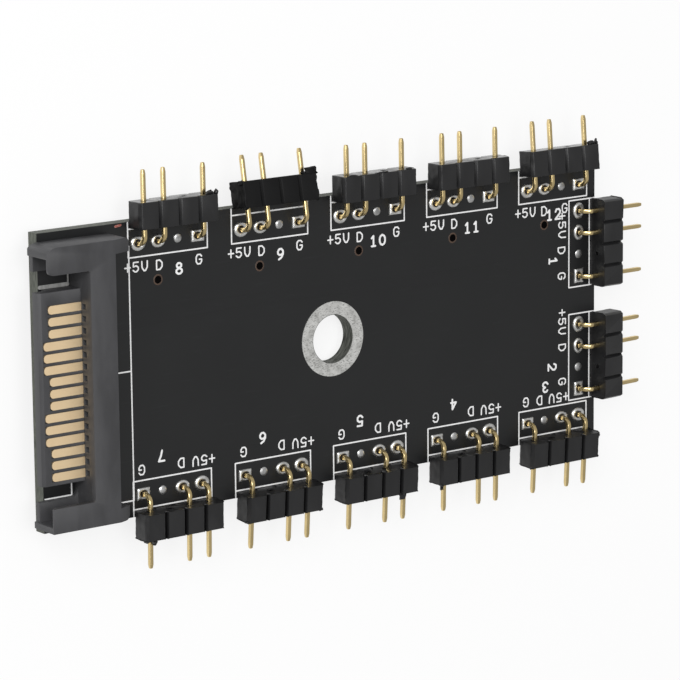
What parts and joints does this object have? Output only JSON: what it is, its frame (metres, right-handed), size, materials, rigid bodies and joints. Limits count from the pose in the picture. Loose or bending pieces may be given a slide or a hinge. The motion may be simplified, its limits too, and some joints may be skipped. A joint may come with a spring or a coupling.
{
  "type": "fan lighting hub",
  "caption": "Flat circuit board hub with a keyed power socket at one end, right-angle pin headers round the other three edges and a plated mounting hole in its middle.",
  "frame": {"origin": "centre of the mounting hole in the plane of the component face", "axes": "+X along the board away from the power socket, +Y across the board, +Z out of the component face; the board lies on its back with the component face up"},
  "size_m": [0.0834, 0.0434, 0.0068],
  "materials": {
    "board_laminate": "glass-fibre laminate under satin black solder mask",
    "tinned_plating": "tin-plated copper, scuffed",
    "socket_plastic": "moulded heat-resistant plastic, satin",
    "gold_plated_contact": "thin gold plating, satin",
    "strip_plastic": "moulded plastic, matte",
    "gold_plated_pin": "thin gold plating, bright",
    "solder": "lead-free solder, bright"
  },
  "bodies": {
    "root": {"circuit_board": "board_laminate", "mounting_ring": "tinned_plating", "power_housing": "socket_plastic", "power_contact_01": "gold_plated_contact", "power_contact_02": "gold_plated_contact", "power_contact_03": "gold_plated_contact", "power_contact_04": "gold_plated_contact", "power_contact_05": "gold_plated_contact", "power_contact_06": "gold_plated_contact", "power_contact_07": "gold_plated_contact", "power_contact_08": "gold_plated_contact", "power_contact_09": "gold_plated_contact", "power_contact_10": "gold_plated_contact", "power_contact_11": "gold_plated_contact", "power_contact_12": "gold_plated_contact", "power_contact_13": "gold_plated_contact", "power_contact_14": "gold_plated_contact", "power_contact_15": "gold_plated_contact", "header_body_01": "strip_plastic", "header_body_02": "strip_plastic", "header_body_03": "strip_plastic", "header_body_04": "strip_plastic", "header_body_05": "strip_plastic", "header_body_06": "strip_plastic", "header_body_07": "strip_plastic", "header_body_08": "strip_plastic", "header_body_09": "strip_plastic", "header_body_10": "strip_plastic", "header_body_11": "strip_plastic", "header_body_12": "strip_plastic", "header_pins_01": "gold_plated_pin", "header_pins_02": "gold_plated_pin", "header_pins_03": "gold_plated_pin", "header_pins_04": "gold_plated_pin", "header_pins_05": "gold_plated_pin", "header_pins_06": "gold_plated_pin", "header_pins_07": "gold_plated_pin", "header_pins_08": "gold_plated_pin", "header_pins_09": "gold_plated_pin", "header_pins_10": "gold_plated_pin", "header_pins_11": "gold_plated_pin", "header_pins_12": "gold_plated_pin", "header_solder": "solder", "key_solder": "solder", "power_solder": "solder"}
  },
  "joints": []
}
